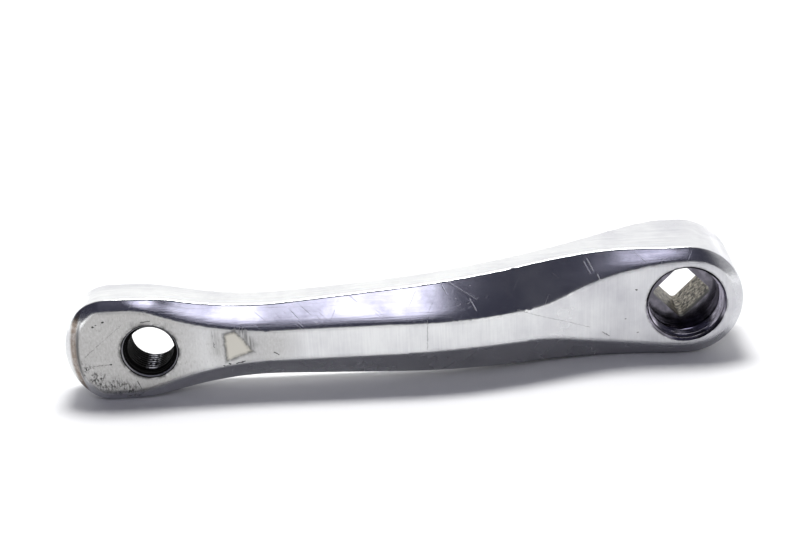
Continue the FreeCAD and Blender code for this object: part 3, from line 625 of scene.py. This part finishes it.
def greasy_thread(finish):
    """A cut thread packed with old grease: nearly black, wet in places, with metal showing on some crests."""
    material, tree, shader, place = new_metal(GREASY)
    shader.inputs["Specular IOR Level"].default_value = 0.03
    smears = add_node(tree, "TexNoise",
                      {"Vector": place, "Scale": 0.45, "Detail": 5.0, "Roughness": 0.65})[0]
    wiped = add_node(tree, "MapRange",
                     {"Value": smears, "From Min": 0.64, "From Max": 0.74, "To Max": 0.4})[0]
    # The countersink is rubbed bright in a thin ring.
    flat = add_node(tree, "VectorMath", {0: place, 1: (1, 0, 1)}, operation="MULTIPLY")[0]
    from_axis = add_node(tree, "VectorMath", {0: flat, 1: (PEDAL_X / MM, 0, 0)},
                         operation="DISTANCE")["Value"]
    off_ring = add_node(tree, "Math", {0: from_axis, 1: BRIGHT_RING}, operation="SUBTRACT")[0]
    off_ring = add_node(tree, "Math", {0: off_ring}, operation="ABSOLUTE")[0]
    ring = add_node(tree, "MapRange",
                    {"Value": off_ring, "From Min": 0.08, "From Max": 0.2, "To Min": 0.8, "To Max": 0.0})[0]
    # The crests, about 6.5 mm from the axis, are rubbed to bare metal in a band along the bottom of the hole.
    crest = add_node(tree, "MapRange",
                     {"Value": from_axis, "From Min": 6.55, "From Max": 6.8, "To Min": 1.0, "To Max": 0.0})[0]
    parts = add_node(tree, "SeparateXYZ", {0: place})
    beside = add_node(tree, "Math", {0: parts["X"], 1: PEDAL_X / MM}, operation="SUBTRACT")[0]
    beside = add_node(tree, "Math", {0: beside}, operation="ABSOLUTE")[0]
    rubbed = add_node(tree, "MapRange",
                      {"Value": beside, "From Min": 0.5, "From Max": 2.2, "To Min": 1.0, "To Max": 0.0})[0]
    under = add_node(tree, "Math", {0: parts["Z"], 1: 0.0}, operation="LESS_THAN")[0]
    patches = add_node(tree, "TexNoise", {"Vector": place, "Scale": 1.1, "Detail": 3.0})[0]
    patchy = add_node(tree, "MapRange", {"Value": patches, "From Min": 0.4, "From Max": 0.55})[0]
    for cover in (under, crest, patchy):
        rubbed = add_node(tree, "Math", {0: rubbed, 1: cover}, operation="MULTIPLY")[0]
    for cover in (ring, rubbed):
        wiped = add_node(tree, "Math", {0: wiped, 1: cover}, operation="MAXIMUM")[0]
    colour = add_node(tree, "Mix", {0: wiped, 6: opaque(finish.grease), 7: opaque(finish.shade)},
                      data_type="RGBA")[2]
    rough = add_node(tree, "MapRange", {"Value": smears, "To Min": 0.3, "To Max": 0.6})[0]
    bump = add_node(tree, "Bump", {"Height": smears, "Distance": 0.08 * MM})[0]
    wire(tree, shader, {"Metallic": wiped, "Base Color": colour, "Roughness": rough, "Normal": bump})
    return material


def broached_socket(finish):
    """Aluminium cut by a broach and pressed on a spindle: dull, mottled brown and grey, scored lengthways."""
    material, tree, shader, place = new_metal("aluminium_broached_and_soiled")
    stretched = add_node(tree, "VectorMath", {0: place, 1: (1.6, 0.12, 1.6)}, operation="MULTIPLY")[0]
    scores = add_node(tree, "TexNoise", {"Vector": stretched, "Scale": 1.0, "Detail": 4.0})[0]
    blotches = add_node(tree, "TexNoise",
                        {"Vector": place, "Scale": 1.0, "Detail": 6.0, "Roughness": 0.75})[0]
    soil = add_node(tree, "MapRange", {"Value": blotches, "From Min": 0.38, "From Max": 0.56})[0]
    black = add_node(tree, "MapRange", {"Value": blotches, "From Min": 0.51, "From Max": 0.56})[0]
    line = add_node(tree, "MapRange", {"Value": scores, "From Min": 0.6, "From Max": 0.66})[0]
    # The mouth of the socket, at the bolt seat, has a black edge.
    depth = add_node(tree, "SeparateXYZ", {0: place})["Y"]
    mouth = add_node(tree, "MapRange", {"Value": depth, "From Min": -12.0, "From Max": -10.6})[0]
    for cover in (line, mouth):
        black = add_node(tree, "Math", {0: black, 1: cover}, operation="MAXIMUM")[0]
    colour = opaque(finish.socket)
    for cover, top in ((soil, finish.socket_dirt), (black, finish.dirt)):
        colour = add_node(tree, "Mix", {0: cover, 6: colour, 7: opaque(top)}, data_type="RGBA")[2]
    rough = add_node(tree, "MapRange", {"Value": blotches, "To Min": 0.3, "To Max": 0.65})[0]
    height = add_node(tree, "Math", {0: scores, 1: blotches}, operation="ADD")[0]
    bump = add_node(tree, "Bump", {"Height": height, "Distance": 0.05 * MM})[0]
    wire(tree, shader, {"Base Color": colour, "Roughness": rough, "Normal": bump})
    return material


def material_named(name):
    """A finish made by an earlier operator."""
    if name not in bpy.data.materials:
        raise RuntimeError(f"{name} isn't made yet: polish the arm first")
    return bpy.data.materials[name]


def add_piece(name, mesh):
    """A finished piece at the origin that moves with the arm."""
    piece = bpy.data.objects.new(name, mesh)
    bpy.context.scene.collection.objects.link(piece)
    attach(piece, BODY)
    return piece


def rows_of(items, name, width, kind=float):
    """One property of all the items as an array with a row for each item."""
    values = np.empty(len(items) * width, kind)
    items.foreach_get(name, values)
    return values.reshape(-1, width)


def merged_skin(source, name):
    """The node's loose triangles as one closed skin with its faces outwards."""
    points = rows_of(source.data.vertices, "co", 3)
    corners = rows_of(source.data.loops, "vertex_index", 1, np.int32).reshape(-1, 3)
    mesh = bpy.data.meshes.new(name)
    mesh.from_pydata(points.tolist(), [], corners.tolist())
    work = bmesh.new()
    work.from_mesh(mesh)
    bmesh.ops.remove_doubles(work, verts=work.verts, dist=WELD)
    bmesh.ops.dissolve_degenerate(work, dist=WELD / 2, edges=work.edges)
    bmesh.ops.triangulate(work, faces=work.faces)
    bmesh.ops.recalc_face_normals(work, faces=work.faces)
    work.to_mesh(mesh)
    work.free()
    return mesh


def write_facing(mesh):
    """Stores on each corner how far the skin faces outboard and down, and its depth below the outer face.

    A corner's normal is the sum of the normals of the triangles round it, each weighted by its area. The
    outer face climbs along two arcs that meet in a tangent. They turn by twice the angle whose tangent is
    the climb over its length, an arc's radius is its length along X over the sine of that turn, and it has
    left its level end by radius - sqrt(radius squared - distance squared) at a distance from that end.
    """
    corners = rows_of(mesh.loops, "vertex_index", 1, np.int32).reshape(-1, 3)
    weighted = rows_of(mesh.polygons, "normal", 3) * rows_of(mesh.polygons, "area", 1)
    total = np.zeros((len(mesh.vertices), 3))
    for corner in range(3):
        np.add.at(total, corners[:, corner], weighted)
    total /= np.linalg.norm(total, axis=1, keepdims=True)
    x, y, _ = rows_of(mesh.vertices, "co", 3).T / MM
    climb = CAD_BOX[1].y / MM
    run = FACE_END - FACE_START
    meet = FACE_SHARE * run
    turn = sin(2 * atan2(climb, run))
    low, high = meet / turn, (run - meet) / turn
    after = np.clip(x - FACE_START, 0, meet)
    before = np.clip(FACE_END - x, 0, run - meet)
    hollow = low - np.sqrt(low ** 2 - after ** 2)
    crown = climb - high + np.sqrt(high ** 2 - before ** 2)
    below = np.where(x < FACE_START + meet, hollow, crown) - y
    for name, values in zip(FACING, (total[:, 1], -total[:, 2], below)):
        attribute = mesh.attributes.new(name, "FLOAT", "POINT")
        attribute.data.foreach_set("value", values.astype(np.float32))


def finish_by_place(mesh):
    """Which finish each triangle has: 0 buffed, 1 turned, 2 greasy thread, 3 broached socket."""
    x, y, z = rows_of(mesh.polygons, "center", 3).T
    facing = np.abs(rows_of(mesh.polygons, "normal", 3)[:, 1])
    from_spindle = np.hypot(x, z)
    from_pedal = np.hypot(x - PEDAL_X, z)
    seat = -SEAT_DEPTH * MM
    puller_mouth = (PULLER["dims"]["r_mm"] + PULLER_MOUTH) * MM
    pedal_mouth = (PEDAL["dims"]["r_mm"] + PEDAL_MOUTH) * MM
    slack = 0.01 * MM
    turned = (from_spindle < puller_mouth) & (y < -slack) & (y > seat - slack)
    socket = (from_spindle < puller_mouth) & (y < seat) & (facing < 0.5)
    thread = (from_pedal < pedal_mouth) & (facing < 0.9)
    return np.select([turned, thread, socket], [1, 2, 3], 0).astype(np.int32)


def thread_ridge(name, axis_x, wall, height, pitch, low, high, hand, steps):
    """A closed helical ridge on the wall of a hole along Y.

    A trapezium with its base on the wall is carried along a helix: at turn t about the axis a point of
    radius r stands at x = axis + r sin t, z = r cos t, y = low + pitch t / tau, with t reversed for a left
    hand. The crest sinks to the wall towards both ends, and a flat face closes each end.
    """
    turns = (high - low) / pitch - 1
    count = int(turns * steps) + 1
    turn = np.linspace(0, turns * tau, count)[:, None]
    fade = np.clip(np.minimum(turn, turns * tau - turn) / (RIDGE_FADE * tau), RIDGE_LEAST, 1)
    offset = np.array([-RIDGE_BASE, -RIDGE_CREST, RIDGE_CREST, RIDGE_BASE]) / 2 * pitch
    rise = np.array([0, 1, 1, 0])
    radius = wall - rise * height * fade + (1 - rise) * RIDGE_ROOT
    x = axis_x + hand * radius * np.sin(turn)
    z = radius * np.cos(turn)
    y = low + pitch / 2 + pitch * turn / tau + offset
    points = np.stack([x, y, z], axis=-1).reshape(-1, 3)
    ring = np.arange(count - 1)[:, None] * 4
    step = np.arange(4)
    after = (step + 1) % 4
    quads = np.stack([ring + step, ring + after, ring + after + 4, ring + step + 4], axis=-1).reshape(-1, 4)
    ends = [step[::-1].tolist(), (len(points) - 4 + step).tolist()]
    mesh = bpy.data.meshes.new(name)
    mesh.from_pydata(points.tolist(), [], quads.tolist() + ends)
    work = bmesh.new()
    work.from_mesh(mesh)
    bmesh.ops.recalc_face_normals(work, faces=work.faces)
    work.to_mesh(mesh)
    work.free()
    mesh.shade_smooth()
    mesh.set_sharp_from_angle(angle=CRISP)
    return mesh


class CRANK_OT_polish_arm(bpy.types.Operator):
    """Cover the arm with a smooth skin in its four finishes"""

    bl_idname = "crank.polish_arm"
    bl_label = "Polish Arm"

    def execute(self, context):
        finish = context.scene.crank_finish
        mesh = merged_skin(frame["nodes"][NODE], "crank_arm_skin")
        write_facing(mesh)
        for make in (buffed_aluminium, turned_aluminium, greasy_thread, broached_socket):
            mesh.materials.append(make(finish))
        mesh.polygons.foreach_set("material_index", finish_by_place(mesh))
        mesh.shade_smooth()
        mesh.set_sharp_from_angle(angle=CRISP)
        arm = add_piece("crank_arm_skin", mesh)
        arm.modifiers.new("flat_faces_stay_flat", "WEIGHTED_NORMAL").keep_sharp = True
        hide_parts(NODE)
        return {"FINISHED"}


class CRANK_OT_cut_threads(bpy.types.Operator):
    """Cut the left-hand pedal thread and the puller thread"""

    bl_idname = "crank.cut_threads"
    bl_label = "Cut Threads"

    def execute(self, context):
        sizes = context.scene.crank_threads
        pedal_start = PEDAL["pos_m"][1] + PEDAL["dims"]["length_mm"] * MM / 2
        left, right = -1, 1
        threads = (
            ("pedal_thread_ridge", PEDAL, pedal_start, sizes.pedal_height, sizes.pedal_pitch,
             left, GREASY),
            ("puller_thread_ridge", PULLER, PULLER_START, sizes.puller_height, sizes.puller_pitch,
             right, TURNED),
        )
        for name, hole, high, height, pitch, hand, finish in threads:
            low = high - hole["dims"]["length_mm"] * MM
            mesh = thread_ridge(name, hole["pos_m"][0], hole["dims"]["r_mm"] * MM, height, pitch, low, high,
                                hand, sizes.steps)
            mesh.materials.append(material_named(finish))
            add_piece(name, mesh)
        return {"FINISHED"}


def add_softbox(name, place, width, height, power, colour):
    """An oval lamp that looks from its place to the middle of the arm."""
    lamp = bpy.data.lights.new(name, "AREA")
    lamp.shape = "ELLIPSE"
    lamp.size = width
    lamp.size_y = height
    lamp.energy = power
    lamp.color = linear(colour)
    holder = bpy.data.objects.new(name, lamp)
    holder.location = place
    holder.rotation_euler = (Vector(MIDDLE) - Vector(place)).to_track_quat("-Z", "Y").to_euler()
    bpy.context.scene.collection.objects.link(holder)


def light_room(scene):
    """A white room: dim in front of the arm and above, bright behind it and low down, pale beside the boss.

    A wall is a soft cap about its direction, by the cosine to it. The brightest part at a point holds.
    """
    world = bpy.data.worlds.new("white_room")
    world.use_nodes = True
    tree = world.node_tree
    tree.nodes.clear()
    way = add_node(tree, "TexCoord")["Generated"]
    height = add_node(tree, "SeparateXYZ", {0: way})["Z"]
    bottom, top = LOW_BAND
    lit = add_node(tree, "MapRange",
                   {"Value": height, "From Min": bottom, "From Max": top, "To Min": 1.0, "To Max": 0.0},
                   interpolation_type="SMOOTHSTEP")[0]
    for direction, begins, full, strength in WALLS.values():
        cosine = add_node(tree, "VectorMath", {0: way, 1: direction}, operation="DOT_PRODUCT")["Value"]
        wall = add_node(tree, "MapRange",
                        {"Value": cosine, "From Min": begins, "From Max": full, "To Max": strength},
                        interpolation_type="SMOOTHSTEP")[0]
        lit = add_node(tree, "Math", {0: lit, 1: wall}, operation="MAXIMUM")[0]
    colour = add_node(tree, "Mix", {0: lit, 6: opaque(ROOM_DIM), 7: opaque(ROOM_WHITE)},
                      data_type="RGBA", clamp_result=False)[2]
    room = add_node(tree, "Background", {"Color": colour})[0]
    add_node(tree, "OutputWorld", {"Surface": room})
    scene.world = world


def white_card(colour):
    """Matt white card: it keeps the shadow and is lifted to white where it is seen or mirrored."""
    material = bpy.data.materials.new("card_matt_white")
    material.use_nodes = True
    tree = material.node_tree
    shader = tree.nodes["Principled BSDF"]
    shader.inputs["Base Color"].default_value = opaque(colour)
    shader.inputs["Roughness"].default_value = 0.9
    shader.inputs["Specular IOR Level"].default_value = 0.0
    shader.inputs["Emission Color"].default_value = (1, 1, 1, 1)
    path = add_node(tree, "LightPath")
    seen = path["Is Camera Ray"]
    for ray in ("Is Glossy Ray", "Is Transmission Ray"):
        seen = add_node(tree, "Math", {0: seen, 1: path[ray]}, operation="MAXIMUM")[0]
    # Near the arm the card is left to the lamps; beyond reach of them it is lifted to white.
    place = add_node(tree, "TexCoord")["Object"]
    gap = add_node(tree, "VectorMath", {0: place, 1: MIDDLE}, operation="DISTANCE")["Value"]
    near, far = CARD_LIFT
    lift = add_node(tree, "MapRange", {"Value": gap, "From Min": near, "From Max": far})[0]
    lift = add_node(tree, "Math", {0: seen, 1: lift}, operation="MULTIPLY")[0]
    wire(tree, shader, {"Emission Strength": lift})
    return material


def lay_floor(scene, colour):
    """A large card under the arm, which stands on its boss and on its eye.

    The eye is a little slimmer, so the card slopes: at x it lies at boss bottom + (x - shoulder) * slope.
    """
    half = FLOOR_HALF
    grid = np.array([(-half, -half), (half, -half), (half, half), (-half, half)])
    points = np.column_stack([grid, CAD_BOX[0].z + (grid[:, 0] - SHOULDER_X) * FLOOR_SLOPE])
    mesh = bpy.data.meshes.new("floor")
    mesh.from_pydata(points.tolist(), [], [[0, 1, 2, 3]])
    mesh.materials.append(white_card(colour))
    floor = bpy.data.objects.new("floor", mesh)
    scene.collection.objects.link(floor)


def place_camera(scene, focal_length):
    """A camera that looks from its place to its aim, turned about its own axis by the lean."""
    ahead = (CAMERA_AIM - CAMERA_PLACE).normalized()
    level = ahead.cross(Vector((0, 0, 1))).normalized()
    lift = level.cross(ahead)
    right = level * cos(CAMERA_LEAN) + lift * sin(CAMERA_LEAN)
    top = lift * cos(CAMERA_LEAN) - level * sin(CAMERA_LEAN)
    lens = bpy.data.cameras.new("camera")
    lens.sensor_width = SENSOR_WIDTH
    lens.lens = focal_length
    lens.clip_start = 0.01
    camera = bpy.data.objects.new("camera", lens)
    camera.matrix_world = Matrix((right, top, -ahead)).transposed().to_4x4()
    camera.location = CAMERA_PLACE
    scene.collection.objects.link(camera)
    scene.camera = camera


class CRANK_OT_set_studio(bpy.types.Operator):
    """Set the white floor, the soft light and the camera"""

    bl_idname = "crank.set_studio"
    bl_label = "Set Studio"

    def execute(self, context):
        scene = context.scene
        studio = scene.crank_studio
        scene.view_settings.view_transform = "Standard"
        light_room(scene)
        for name, (power, place, width, height, colour) in SOFTBOXES.items():
            add_softbox(name, place, width, height, getattr(studio, power), colour)
        lay_floor(scene, studio.card)
        place_camera(scene, studio.lens)
        return {"FINISHED"}


class CRANK_PT_sidebar(bpy.types.Panel):
    """Finish, threads and studio of the crank arm"""

    bl_idname = "CRANK_PT_sidebar"
    bl_label = "Crank Arm"
    bl_space_type = "VIEW_3D"
    bl_region_type = "UI"
    bl_category = "Crank"

    def draw(self, context):
        scene = context.scene
        for group in (scene.crank_finish, scene.crank_threads, scene.crank_studio):
            box = self.layout.box()
            for name in group.__annotations__:
                box.prop(group, name)
        for operator in OPERATORS:
            self.layout.operator(operator.bl_idname)


GROUPS = {"crank_finish": CrankFinish, "crank_threads": CrankThreads, "crank_studio": CrankStudio}
OPERATORS = (CRANK_OT_polish_arm, CRANK_OT_cut_threads, CRANK_OT_set_studio)
CLASSES = (*GROUPS.values(), *OPERATORS, CRANK_PT_sidebar)


def register():
    for group in CLASSES:
        bpy.utils.register_class(group)
    for name, group in GROUPS.items():
        setattr(bpy.types.Scene, name, PointerProperty(type=group))


def unregister():
    for name in GROUPS:
        delattr(bpy.types.Scene, name)
    for group in reversed(CLASSES):
        bpy.utils.unregister_class(group)


def main():
    register()
    bpy.ops.crank.polish_arm()
    bpy.ops.crank.cut_threads()
    bpy.ops.crank.set_studio()


if __name__ == "__main__":
    main()
